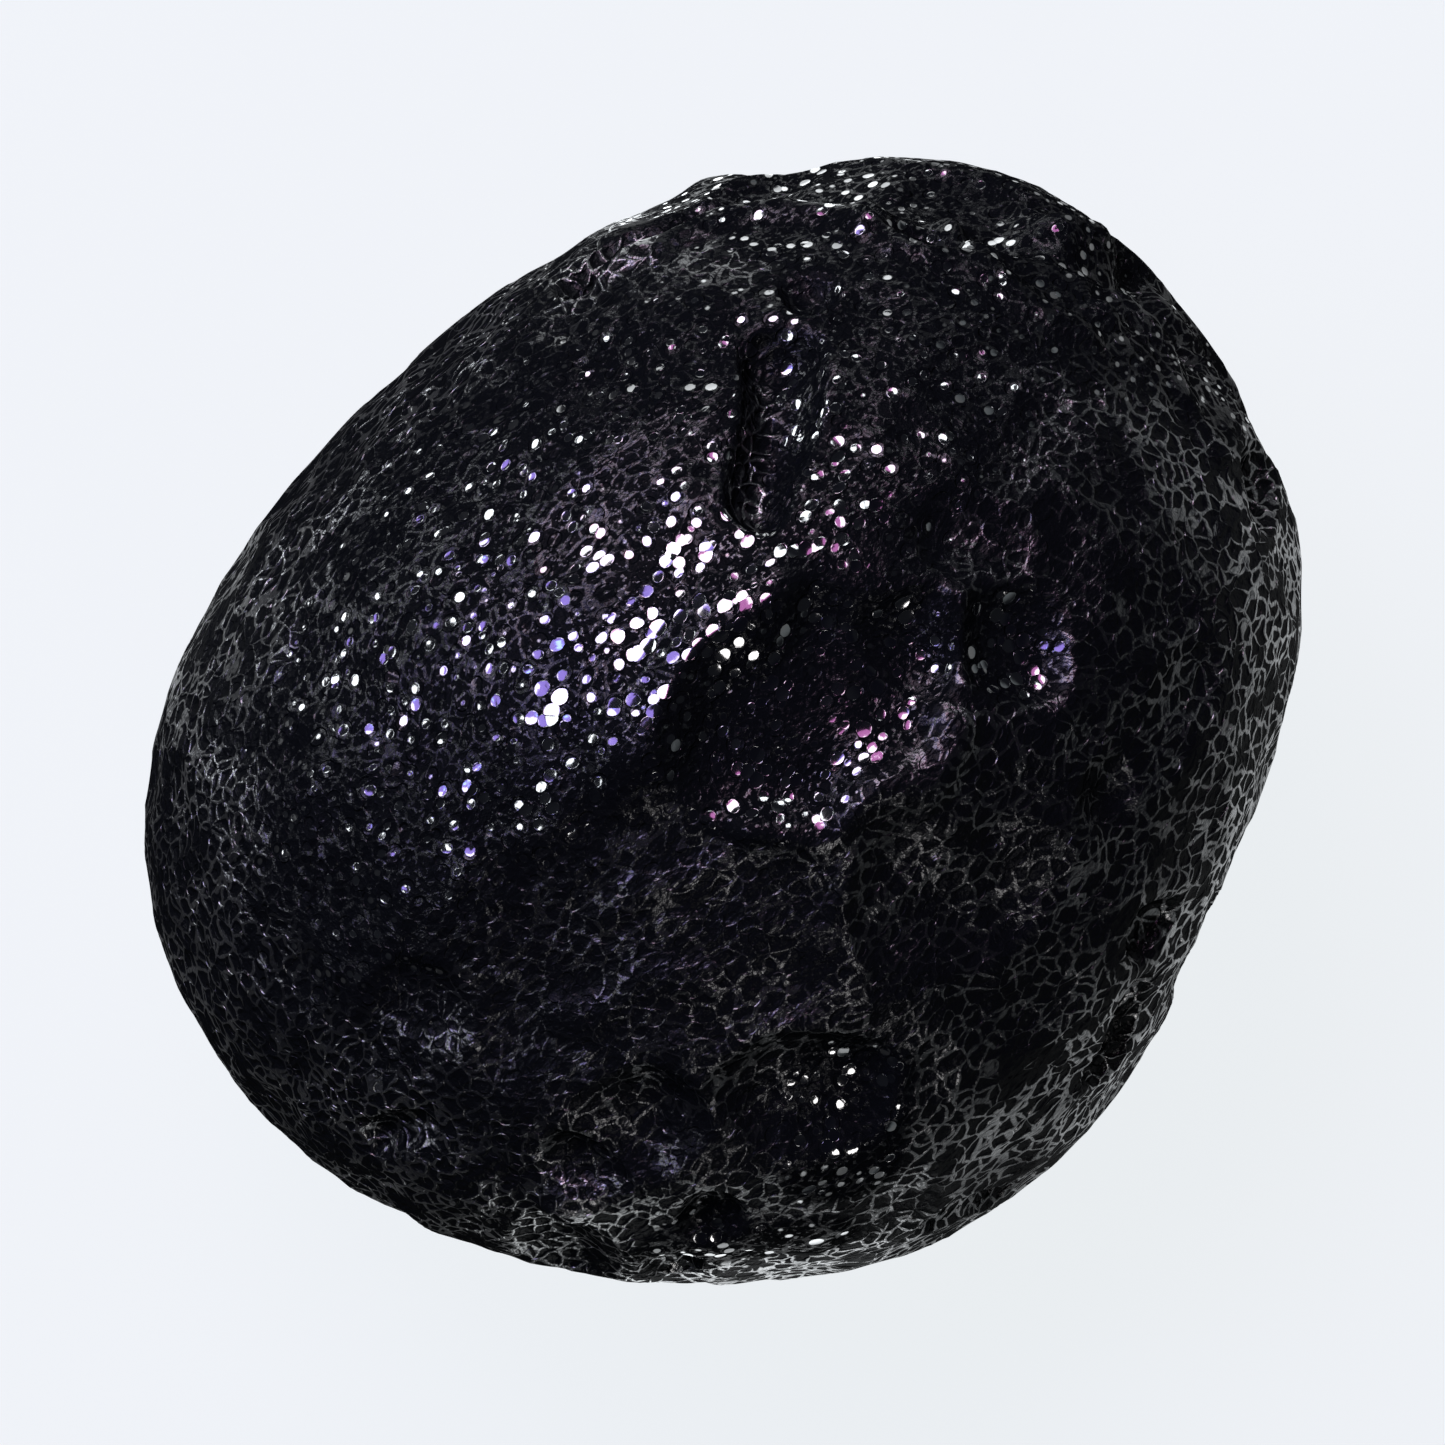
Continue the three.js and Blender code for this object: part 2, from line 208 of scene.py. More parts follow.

# How steep the etch pits are. They are steepest round the girth, where it is 1.
# the steepness on the side of the top away from the lights
SHADED_SIDE_STEEPNESS = 0.15
LIT_SIDE_STEEPNESS = 0.15  # what the side that faces the lights adds
LEANING_STEEPNESS = 0.7  # what the side that faces the lights adds where it leans
SUNK_LOSS = 0.5  # the share that is lost in the scallops

# How large the glossy floors of the small pits are, as a share of their full size.
# the least, on the side of the top away from the lights, which is left dull and dark as painted
# shade
SHADED_SIDE_GLOSS = 0.06
LIT_SIDE_GLOSS = 0.64  # what the side that faces the lights adds. The side away from them keeps little gloss, as painted shade
SUNK_GLOSS = 1.1  # in the scallops
DOME_HIGHLIGHT_BAND = ("top", ((-6.5, 5.6), (0.0, 6.0), (8.5, 6.0)), 4.0, 0.65)  # it ends with its gloss. A glossier band where the key lights' glints fall on the dome, as a painted highlight
DOME_HIGHLIGHT_CORE = 1.5  # the distance in mm within which the band has all of its gloss
GLINT_SPOTS = (  # glossier spots in the bowls near the lower edge, and on that edge, where the lower side light's glints fall through the painted shade of that side
    ("top", ((-7.4, -13.6), (-9.6, -15.2)), 3.6, 0.9),
    ("top", ((-17.6, -14.2), (-14.0, -16.8)), 3.4, 0.9),
)
GLINT_SPOT_CORE = 0.35  # the share of a glint spot's reach within which it has all of its gloss

KNOBBY_END = (26, 8)  # azimuth and elevation of the knobby end
KNOBBY_GLOSS = 0.65
KNOBBY_PLACES = (20.0, 22.5)  # from matt to glossy, by distance toward that end in mm
KNOBBY_RISES = (-0.25, 0.05)  # from matt to glossy, by the sine of elevation
KNOBBY_SIDES = (3.0, 9.0)  # from the less glossy side to the other, by Y in mm
KNOBBY_SHARE = 0.6  # share of the gloss that the less glossy side has

SLOT_CORE = 0.8  # the share of the slot's reach within which only its own gloss counts
SLOT_WALL = (-0.1, 0.2)  # from its matt wall, dull as painted shade, to its glossy wall, by place across it in mm


# ------------------------------------------------------------------ settings a user would change

class StoneShape(bpy.types.PropertyGroup):
    """Sizes of the stone's surface."""

    mesh_rows: IntProperty(
        name="Mesh rows", default=128, min=16, max=128,
        description="Rows of faces along each of the six sides that the mesh starts from")
    foot_wear: FloatProperty(
        name="Foot wear", default=0.35 * MM, unit="LENGTH", precision=5,
        description="Depth of the flat worn spot that the stone rests on")
    large_pit_size: FloatProperty(
        name="Large pit size", default=1.7 * MM, unit="LENGTH", precision=5,
        description="Distance between the larger etch pits")
    large_pit_depth: FloatProperty(
        name="Large pit depth", default=0.15 * MM, unit="LENGTH", precision=5,
        description="Depth of the larger etch pits")
    waviness: FloatProperty(
        name="Waviness", default=1.2 * MM, unit="LENGTH", precision=5,
        description="How far slow waves shift the pattern of pits")
    seed: IntProperty(
        name="Seed", default=7, min=0, max=100,
        description="Picks another scatter of pits")


class GlassFinish(bpy.types.PropertyGroup):
    """Colour, gloss and fine relief of the glass."""

    glass_colour: FloatVectorProperty(
        name="Glass colour", default=(0.0004, 0.0005, 0.0007), subtype="COLOR",
        description="Colour of the clean glass in the pits")
    skin_colour: FloatVectorProperty(
        name="Skin colour", default=(0.0004, 0.0005, 0.0006), subtype="COLOR",
        description="Colour of the matt etched skin between the pits")
    glass_roughness: FloatProperty(
        name="Glass roughness", default=0.09, min=0, max=1, subtype="FACTOR",
        description="Roughness of the clean glass in the pits")
    crest_roughness: FloatProperty(
        name="Crest roughness", default=0.28, min=0, max=1, subtype="FACTOR",
        description="Roughness of the glossy crests and specks in the skin")
    pit_size: FloatProperty(
        name="Pit size", default=0.68 * MM, unit="LENGTH", precision=5,
        description="Distance between the small etch pits")
    pit_depth: FloatProperty(
        name="Pit depth", default=0.05 * MM, unit="LENGTH", precision=5,
        description="Depth of the small etch pits where they are shallow")
    pit_lean: FloatProperty(
        name="Pit lean", default=0.25, min=0, max=1,
        description="How much the floors of the small pits lean, each its own way")
    dent_size: FloatProperty(
        name="Dent size", default=0.75 * MM, unit="LENGTH", precision=5,
        description="Distance between the packed dents, which have the glossy crests round them")
    grain_size: FloatProperty(
        name="Grain size", default=0.22 * MM, unit="LENGTH", precision=5,
        description="Size of the grain of the skin")
    grain_depth: FloatProperty(
        name="Grain depth", default=0.07 * MM, unit="LENGTH", precision=5,
        description="Depth of the grain of the skin")


class StudioSetup(bpy.types.PropertyGroup):
    """Floor, light and camera."""

    floor_colour: FloatVectorProperty(
        name="Floor colour", default=(0.871, 0.905, 0.93), subtype="COLOR",
        description="Colour of the floor and of the far background")
    key_light: FloatProperty(
        name="Key light", default=30.0, min=0,
        description="Brightness of the key light. The other lights keep their share of it")
    lens: FloatProperty(
        name="Lens", default=150.0, min=20, max=300,
        description="Focal length of the camera, in millimetres")
    view_width: FloatProperty(
        name="View width", default=64.82 * MM, unit="LENGTH", precision=5,
        description="Breadth of the view at the middle of the stone")
    roll: FloatProperty(
        name="Camera roll", default=math.radians(43), subtype="ANGLE",
        description="How far the stone's length is turned up from the picture's base")


# ------------------------------------------------------------------ node graphs written as sums

class Wire:
    """The output of a node, which Python sums can use like a number or a vector."""

    def __init__(self, graph, socket):
        self.graph = graph
        self.socket = socket

    def is_vector(self):
        return self.socket.type in {"VECTOR", "RGBA"}

    def sum_with(self, operation, *terms):
        wires = [term for term in terms if isinstance(term, Wire)]
        vector = any(wire.is_vector() for wire in wires)
        kind = "ShaderNodeVectorMath" if vector else "ShaderNodeMath"
        if vector:
            terms = [term if isinstance(term, Wire) or hasattr(term, "__len__") else (term,) * 3
                     for term in terms]
        node = self.graph.add(kind, {"operation": operation}, dict(enumerate(terms)))
        return Wire(self.graph, node.outputs[0])

    def __add__(self, other):
        return self.sum_with("ADD", self, other)

    def __sub__(self, other):
        return self.sum_with("SUBTRACT", self, other)

    def __rsub__(self, other):
        return self.sum_with("SUBTRACT", other, self)

    def __mul__(self, other):
        return self.sum_with("MULTIPLY", self, other)

    def __truediv__(self, other):
        return self.sum_with("DIVIDE", self, other)

    def __pow__(self, other):
        return self.sum_with("POWER", self, other)

    def at_most(self, other):
        return self.sum_with("MINIMUM", self, other)


class Graph:
    """Adds nodes to a tree."""

    def __init__(self, tree):
        self.tree = tree

    def add(self, kind, settings=None, inputs=None):
        """Makes a node, sets its settings, then gives its sockets values or links."""
        node = self.tree.nodes.new(kind)
        for name, value in (settings or {}).items():
            setattr(node, name, value)
        for name, value in (inputs or {}).items():
            socket = find_socket(node.inputs, name)
            if isinstance(value, Wire):
                self.tree.links.new(value.socket, socket)
            else:
                socket.default_value = value
        return node

    def wire(self, kind, output, settings=None, inputs=None):
        """Makes a node and returns one of its outputs."""
        node = self.add(kind, settings, inputs)
        return Wire(self, find_socket(node.outputs, output))


def shader_graph(owner):
    """Empties the shader tree of a material or a world, ready for new nodes."""
    owner.use_nodes = True
    owner.node_tree.nodes.clear()
    return Graph(owner.node_tree)


def find_socket(sockets, name):
    """The socket with that number, or the one in use with that name."""
    if isinstance(name, int):
        return sockets[name]
    for socket in sockets:
        if socket.enabled and name in (socket.identifier, socket.name):
            return socket
    raise KeyError(f"no socket called {name}")


def smooth_step(graph, value, low, high, start=0.0, end=1.0):
    """Goes smoothly from start to end while value goes from low to high."""
    return graph.wire(
        "ShaderNodeMapRange", "Result", {"interpolation_type": "SMOOTHSTEP"},
        {"Value": value, "From Min": low, "From Max": high, "To Min": start, "To Max": end})


def noise(graph, place, size, detail, output="Fac"):
    """A soft random pattern around 0.5, or three of them in one vector."""
    return graph.wire(
        "ShaderNodeTexNoise", output, {"noise_dimensions": "3D"},
        {"Vector": place, "Scale": 1 / size, "Detail": detail})


def inner_product(graph, first, second):
    """The dot product of two vectors."""
    return graph.wire(
        "ShaderNodeVectorMath", "Value", {"operation": "DOT_PRODUCT"}, {0: first, 1: second})


# ------------------------------------------------------------------ the form in numbers

def direction_at(azimuth, elevation):
    """The unit direction with that azimuth and elevation in degrees."""
    turn, rise = math.radians(azimuth), math.radians(elevation)
    flat = math.cos(rise)
    return np.array((flat * math.cos(turn), flat * math.sin(turn), math.sin(rise)))


def smooth(value, low, high):
    """Goes smoothly from 0 to 1 while value goes from low to high."""
    share = np.clip((value - low) / (high - low), 0, 1)
    return share * share * (3 - 2 * share)


def form_radius(directions):
    """Distance from the stone's middle to the plain form, for rows of unit directions."""
    total = (np.abs(directions / HALF) ** OVAL_POWER).sum(axis=-1)
    radius = total ** (-1 / OVAL_POWER)
    for azimuth, elevation, spread, proud in SWELLINGS:
        cosine = np.clip(directions @ direction_at(azimuth, elevation), -1, 1)
        away = np.degrees(np.arccos(cosine)) / spread
        radius = radius + proud * np.exp(-away ** 2)
    return radius


def point_on_form(place, side):
    """The point of the plain form above or below a place seen in plan."""
    azimuth = math.degrees(math.atan2(place[1], place[0]))
    sign = 1 if side == "top" else -1
    low, high = 0.0, 90.0
    for _ in range(30):  # each round halves the gap
        elevation = (low + high) / 2
        radius = form_radius(direction_at(azimuth, sign * elevation))
        if math.cos(math.radians(elevation)) * radius > math.hypot(*place):
            low = elevation
        else:
            high = elevation
    direction = direction_at(azimuth, sign * low)
    return direction * form_radius(direction)


def place_mark(mark):
    """The mark's path on the plain form, its reach and its last number."""
    side, path, reach, size = mark
    return [point_on_form(place, side) for place in path], reach, size


def distance_to_path(points, path):
    """Distance from each point to the nearest stretch of a path."""
    if len(path) == 1:
        return np.linalg.norm(points - path[0], axis=1)
    least = np.full(len(points), np.inf)
    for start, end in zip(path, path[1:]):
        along = end - start
        share = np.clip((points - start) @ along / (along @ along), 0, 1)
        nearest = start + share[:, None] * along
        least = np.minimum(least, np.linalg.norm(points - nearest, axis=1))
    return least


def scatter(index, stream):
    """A repeatable number from 0 to 1 for two whole numbers."""
    # the factors only have to be uneven enough to hide the wave
    wave = math.sin(index * 12.9898 + stream * 78.233) * 43758.5453
    return wave - math.floor(wave)


def place_dimples():
    """The dimples as placed marks, along a spiral that spreads them evenly."""
    dimples = []
    for index in range(DIMPLE_COUNT):
        z = 1 - (2 * index + 1) / DIMPLE_COUNT
        flat, turn = math.sqrt(1 - z * z), index * GOLDEN_ANGLE
        direction = np.array((flat * math.cos(turn), flat * math.sin(turn), z))
        shift = 2 * np.array([scatter(index, stream) for stream in (1, 2, 3)]) - 1
        direction += DIMPLE_SHIFT * shift
        direction /= np.linalg.norm(direction)
        least, most = DIMPLE_REACH
        reach = least + (most - least) * scatter(index, 4)
        dimples.append(([direction * form_radius(direction)], reach, reach * DIMPLE_STEEPNESS))
    return dimples


def wander(points):
    """Shifts points by slow waves, so that marks measured from them have uneven lips."""
    # the factors of 0.6 and 1.7 keep the waves from lining up
    x, y, z = points.T
    pace = 2 * math.pi / WANDER_LENGTH
    shift = np.stack((
        np.sin(pace * (y + 0.6 * z)) + np.sin(pace * (1.7 * z - x)),
        np.sin(pace * (z + 0.6 * x)) + np.sin(pace * (1.7 * x - y)),
        np.sin(pace * (x + 0.6 * y)) + np.sin(pace * (1.7 * y - z)),
    ), axis=1)
    return points + WANDER_SIZE * shift


def dimple_share(points):
    """How much of the dimples' depth is left at each point: 1 is all of it."""
    share = np.ones(len(points))
    for mark in CALM_SPOTS:
        path, reach, fade = place_mark(mark)
        share *= 1 - fade * np.exp(-(distance_to_path(points, path) / reach) ** 2)
    return share


def deepest_bowl(points, placed, power):
    """The deepest of the overlapping bowls, so that a crisp lip stays where two of them meet."""
    deepest = np.zeros(len(points))
    for path, reach, depth in placed:
        away = distance_to_path(points, path) / reach
        deepest = np.maximum(deepest, depth * (1 - away ** power))
    return deepest


def ridge_height(points, placed):
    """The height of all the ridges together."""
    height = np.zeros(len(points))
    for path, reach, proud in placed:
        away = distance_to_path(points, path) / reach
        height += proud * np.clip(1 - away ** 2, 0, 1) ** 2
    return height


def cube_sphere(rows):
    """Unit directions and quads of a ball made from a cube with that many rows a side."""
    step = np.arange(rows + 1)
    across, up = (grid.ravel() for grid in np.meshgrid(step, step, indexing="ij"))
    corner = (step[:-1, None] * (rows + 1) + step[None, :-1]).ravel()
    quad = np.stack((corner, corner + rows + 1, corner + rows + 2, corner + 1), axis=1)
    places, quads = [], []
    for axis in range(3):
        for level in (0, rows):
            place = np.empty((len(across), 3), int)
            place[:, axis] = level
            place[:, (axis + 1) % 3] = across
            place[:, (axis + 2) % 3] = up
            quads.append((quad if level else quad[:, ::-1]) + len(places) * len(across))
            places.append(place)
    shared, index = np.unique(np.concatenate(places), axis=0, return_inverse=True)
    warped = np.tan((shared / rows * 2 - 1) * math.pi / 4)
    directions = warped / np.linalg.norm(warped, axis=1, keepdims=True)
    return directions, index.ravel()[np.concatenate(quads)]


def surface_finish(directions, points):
    """How steep the etch pits are at each point, and how large their glossy floors are."""
    scallops = [place_mark(mark) for mark in SCALLOPS]
    sunk = smooth(deepest_bowl(points, scallops, HOLLOW_POWER), *SUNK_DEPTHS)
    girth = smooth(np.abs(directions[:, 2]), *GIRTH_RISES)
    leaning = smooth(directions[:, 2], *LEANING_RISES)
    # painted shade: the top is duller and its pits shallower on the side away from the lights
    lit_side = smooth(points[:, 1], *LIT_SIDE_PLACES)
    steep = SHADED_SIDE_STEEPNESS + (LIT_SIDE_STEEPNESS + LEANING_STEEPNESS * leaning) * lit_side
    steep = steep * (1 - SUNK_LOSS * sunk) * (1 - girth) + girth

    # the top: gloss kept low on the side away from the lights as painted shade and raised on the
    # side that faces them, the dome's highlight band and the scallops
    # painted highlight: the gloss is raised along the band where the key lights' glints fall
    path, reach, band_gloss = place_mark(DOME_HIGHLIGHT_BAND)
    highlight_band = lit_side * smooth(distance_to_path(points, path), reach, DOME_HIGHLIGHT_CORE)
    glossy = SHADED_SIDE_GLOSS + LIT_SIDE_GLOSS * lit_side + band_gloss * highlight_band
    glossy = np.maximum(glossy, SUNK_GLOSS * sunk) * (1 - girth)

    # the knobby end and the glint spots, which go on round the edge
    knobby = smooth(points @ direction_at(*KNOBBY_END), *KNOBBY_PLACES)
    knobby *= smooth(directions[:, 2], *KNOBBY_RISES)
    knobby *= KNOBBY_SHARE + (1 - KNOBBY_SHARE) * smooth(points[:, 1], *KNOBBY_SIDES)
    glossy = np.maximum(glossy, KNOBBY_GLOSS * knobby)
    # painted glints: the gloss is raised where the lower side light's glints fall
    for mark in GLINT_SPOTS:
        path, reach, spot_gloss = place_mark(mark)
        glint_spot = smooth(distance_to_path(points, path), reach, GLINT_SPOT_CORE * reach)
        glossy = np.maximum(glossy, spot_gloss * glint_spot)

    # the slot is made matt as painted shade, so that it stays black, but for the wall that faces
    # the light
    path, reach, _ = place_mark(SLOT)
    inside = smooth(distance_to_path(points, path), reach, SLOT_CORE * reach)
    start, end = np.array(SLOT[1])
    along = (end - start) / np.linalg.norm(end - start)
    across = np.array((-along[1], along[0]))
    lit_wall = smooth((points[:, :2] - start) @ across, *SLOT_WALL)
    return steep, glossy * (1 - inside) + inside * lit_wall


def stone_points(directions, foot_wear):
    """Points of the stone with all its marks, in mm, before it is fitted to its size."""
    radius = form_radius(directions)
    points = directions * radius[:, None]
    strayed = wander(points)
    relief = ridge_height(strayed, [place_mark(mark) for mark in RIDGES])
    relief -= deepest_bowl(strayed, [place_mark(mark) for mark in HOLLOWS], HOLLOW_POWER)
    relief -= deepest_bowl(strayed, place_dimples(), DIMPLE_POWER) * dimple_share(points)
    points = directions * (radius + relief)[:, None]
    foot_level = form_radius(direction_at(0, -90)) - foot_wear
    points[:, 2] = np.maximum(points[:, 2], -foot_level)
    return points, surface_finish(directions, strayed)


# ------------------------------------------------------------------ the etching

LIP = 0.7  # the squared distance at which a pit ends, where the pits' spacing is 1
PIT_STRETCH = (0.85, 1.0, 1.0)  # below 1 along X, which makes the pits longer that way
PIT_RANDOMNESS = 0.92
WAVE_LENGTH = 6.25  # of the slow waves that shift the pits, in mm
PATCH_LENGTH = 11.0  # of the patches with deeper and shallower pits, in mm
PATCH_DEPTHS = (0.45, 1.0)  # share of their depth that pits have in those patches
SEED_STEP = 17.0  # how far the next seed moves the pattern, in mm


def etching_tree():
    """Presses packed pits into a mesh and keeps the pattern's own coordinates for the glass."""
    tree = bpy.data.node_groups.new("Etching", "GeometryNodeTree")
    tree.interface.new_socket("Geometry", in_out="INPUT", socket_type="NodeSocketGeometry")
    for name in ("Pit size", "Pit depth", "Waviness"):
        tree.interface.new_socket(name, in_out="INPUT", socket_type="NodeSocketFloat")
    tree.interface.new_socket("Seed", in_out="INPUT", socket_type="NodeSocketInt")
    tree.interface.new_socket("Material", in_out="INPUT", socket_type="NodeSocketMaterial")
    tree.interface.new_socket("Geometry", in_out="OUTPUT", socket_type="NodeSocketGeometry")

    graph = Graph(tree)
    given = graph.add("NodeGroupInput")

    def entry(name):
        return Wire(graph, find_socket(given.outputs, name))

    # the pattern is slightly stretched along the stone and shifted by slow waves
    place = graph.wire("GeometryNodeInputPosition", "Position") * (1 / MM)
    moved = graph.wire(
        "ShaderNodeCombineXYZ", "Vector", None, {"X": entry("Seed") * SEED_STEP})
    place = place + moved
    wave = noise(graph, place, WAVE_LENGTH, 1.0, "Color")
    etched = place * PIT_STRETCH + (wave - 0.5) * entry("Waviness")
    kept = graph.wire(
        "GeometryNodeStoreNamedAttribute", "Geometry",
        {"data_type": "FLOAT_VECTOR", "domain": "POINT"},
        {"Geometry": entry("Geometry"), "Name": "etch_place", "Value": etched})

    away = graph.wire(
        "ShaderNodeTexVoronoi", "Distance", {"voronoi_dimensions": "3D", "feature": "F1"},
        {"Vector": etched, "Scale": entry("Pit size") ** -1, "Randomness": PIT_RANDOMNESS})
    bowl = (LIP - (away * away).at_most(LIP)) / LIP
    patches = smooth_step(
        graph, noise(graph, place, PATCH_LENGTH, 1.0), 0.35, 0.65, *PATCH_DEPTHS)
    strength = graph.wire(
        "GeometryNodeInputNamedAttribute", "Attribute", {"data_type": "FLOAT"},
        {"Name": "etch_strength"})
    depth = bowl * entry("Pit depth") * patches * strength
    normal = graph.wire("GeometryNodeInputNormal", "Normal")
    inward = graph.wire(
        "ShaderNodeVectorMath", "Vector", {"operation": "SCALE"},
        {"Vector": normal, "Scale": depth * -MM})
    pressed = graph.wire(
        "GeometryNodeSetPosition", "Geometry", None, {"Geometry": kept, "Offset": inward})
    smoothed = graph.wire("GeometryNodeSetShadeSmooth", "Geometry", None, {"Geometry": pressed})
    whole = graph.wire("GeometryNodeRealizeInstances", "Geometry", None, {"Geometry": smoothed})
    dressed = graph.wire(
        "GeometryNodeSetMaterial", "Geometry", None,
        {"Geometry": whole, "Material": entry("Material")})
    graph.add("NodeGroupOutput", None, {"Geometry": dressed})
    return tree


def run_tree(piece, tree, values):
    """Runs a geometry tree on a piece and puts the plain result in its place."""
    modifier = piece.modifiers.new(tree.name, "NODES")
    modifier.node_group = tree
    for item in tree.interface.items_tree:
        if item.item_type == "SOCKET" and item.in_out == "INPUT" and item.name in values:
            modifier[item.identifier] = values[item.name]
    depsgraph = bpy.context.evaluated_depsgraph_get()
    result = bpy.data.meshes.new_from_object(
        piece.evaluated_get(depsgraph), preserve_all_data_layers=True, depsgraph=depsgraph)
    piece.modifiers.remove(modifier)
    plain = piece.data
    piece.data = result
    result.name = piece.name
    bpy.data.meshes.remove(plain)


# ------------------------------------------------------------------ the glass

# Lengths of the glass's soft patterns, in mm.
FLOOR_PATCHES = 1.25  # patches with larger and smaller glossy floors
CREST_PATCHES = 1.6  # patches with broader and narrower crests
DULL_PATCHES = 3.5  # patches with brighter and duller crests
BEND_LENGTH, BEND_SIZE = 0.9, 0.8  # of the waves that bend the crests, and how far they do

DENT_DEPTH = 0.08  # in mm
SMALL_PIT_RANDOMNESS = 0.95
LEAST_LEAN = 0.9  # lean of a floor where the pits aren't steep. Their steepness is added to it

# Squared distances from the middle of a small pit, where the pits' spacing is 1.
FLOOR_SIZES = (0.06, 0.2)  # where the smallest and the largest glossy floors end
FLOOR_FADE = 0.04  # over which a floor turns into skin
HOLLOW_END = 0.3  # where the pit's wall ends
LEAN_ENDS = (0.36, 0.26)  # where the lean of the floor begins, and where it is complete

# Distances from the edge of a dent, where the dents' spacing is 1.
DENT_WALL = 0.35  # breadth of the dent's wall
CREST_BREADTH = 0.09  # half breadth of the broadest crest
CREST_FADE = 0.03  # over which a crest turns into skin
CREST_START = 0.38  # the level of its soft pattern above which there is a crest
CREST_SPREAD = 0.7  # how fast a crest broadens above that level
CREST_FRAY = 0.1  # how far the grain frays the crest's sides

# How much of the dents and crests shows: a change from, to, and the share at either end.
SHOWN_BY_STEEPNESS = (0.15, 0.8, 0.35, 1.0)
SHOWN_BY_GLOSS = (0.5, 0.0, 0.1, 1.0)

# The share of clean glass in the crests, in the dents and in the specks of the grain.
CREST_GLASS, DENT_GLASS, SPECK_GLASS = 0.9, 0.04, 0.15


def skin_crests(graph, finish, place, grain, shown):
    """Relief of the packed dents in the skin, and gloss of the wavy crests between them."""
    wavy = place + (noise(graph, place, BEND_LENGTH, 1.0, "Color") - 0.5) * BEND_SIZE
    inside = graph.wire(
        "ShaderNodeTexVoronoi", "Distance",
        {"voronoi_dimensions": "3D", "feature": "DISTANCE_TO_EDGE"},
        {"Vector": wavy, "Scale": MM / finish.dent_size, "Randomness": 1.0})
    dents = smooth_step(graph, inside, 0.0, DENT_WALL) * shown
    breadth = (noise(graph, place, CREST_PATCHES, 1.0) - CREST_START) * CREST_SPREAD
    breadth = breadth + (grain - 0.5) * CREST_FRAY
    crests = smooth_step(
        graph, inside - breadth.at_most(CREST_BREADTH), CREST_FADE, -CREST_FADE)
    dull = noise(graph, place, DULL_PATCHES, 1.0)
    return dents, crests * smooth_step(graph, dull, 0.35, 0.6, 0.45, 1.0)


def black_glass(finish):
    """Black natural glass: glossy pit floors and crests of clean glass in a matt etched skin."""
    material = bpy.data.materials.new("Black natural glass")
    graph = shader_graph(material)
    place = graph.wire("ShaderNodeAttribute", "Vector", {"attribute_name": "etch_place"})
    strength = graph.wire("ShaderNodeAttribute", "Fac", {"attribute_name": "etch_strength"})
    # etch_gloss also carries painted shade and glints: low on the side away from the lights and in
    # the slot, raised where glints fall
    gloss = graph.wire("ShaderNodeAttribute", "Fac", {"attribute_name": "etch_gloss"})
    grain = noise(graph, place, finish.grain_size / MM, 2.0)

    # each pit has its own middle and its own random lean
    pits = graph.add(
        "ShaderNodeTexVoronoi", {"voronoi_dimensions": "3D", "feature": "F1"},
        {"Vector": place, "Scale": MM / finish.pit_size, "Randomness": SMALL_PIT_RANDOMNESS})
    away = Wire(graph, find_socket(pits.outputs, "Distance"))
    middle = Wire(graph, find_socket(pits.outputs, "Position"))
    lot = Wire(graph, find_socket(pits.outputs, "Color"))
    bowl = away * away
    lean = inner_product(graph, place - middle, lot - 0.5)
    lean = lean * (strength + LEAST_LEAN) * finish.pit_lean

    # the dents and crests show most where the pits are steep, as round the girth, and matt
    shown = smooth_step(graph, strength, *SHOWN_BY_STEEPNESS)
    shown = shown * smooth_step(graph, gloss, *SHOWN_BY_GLOSS)
    dents, crests = skin_crests(graph, finish, place, grain, shown)

    # the glossy floors vary in size, and are larger where the gloss is high
    patches = noise(graph, place, FLOOR_PATCHES, 1.0)
    edge = smooth_step(graph, patches, 0.35, 0.62, *FLOOR_SIZES) * gloss
    floor = smooth_step(graph, bowl - edge, 0.0, -FLOOR_FADE)
    hollow = bowl.at_most(HOLLOW_END) * (strength + 1.0) * (finish.pit_depth / MM)
    flat_grain = (grain - 0.5) * (1.0 - floor) * (finish.grain_depth / MM)
    height = lean * smooth_step(graph, bowl, *LEAN_ENDS) + hollow + flat_grain - dents * DENT_DEPTH
    normal = graph.wire(
        "ShaderNodeBump", "Normal", None, {"Height": height, "Distance": MM, "Strength": 1.0})

    # specks of the grain are faintly glossy too
    speck = smooth_step(graph, grain, 0.58, 0.66) * gloss
    skin_gloss = (crests * CREST_GLASS + DENT_GLASS) * shown + speck * SPECK_GLASS
    roughness = floor * (finish.glass_roughness - finish.crest_roughness) + finish.crest_roughness
    glass = graph.wire("ShaderNodeBsdfPrincipled", "BSDF", None, {
        "Base Color": (*finish.glass_colour, 1.0), "Roughness": roughness, "IOR": 1.5,
        "Normal": normal})
    skin = graph.wire("ShaderNodeBsdfDiffuse", "BSDF", None, {
        "Color": (*finish.skin_colour, 1.0), "Normal": normal})
    surface = graph.wire("ShaderNodeMixShader", "Shader", None, {
        0: floor + (1.0 - floor) * skin_gloss.at_most(1.0), 1: skin, 2: glass})
    graph.add("ShaderNodeOutputMaterial", None, {"Surface": surface})
    return material


# ------------------------------------------------------------------ the studio

BRIGHT_SIDE = -40  # azimuth of the side that has most of the glow

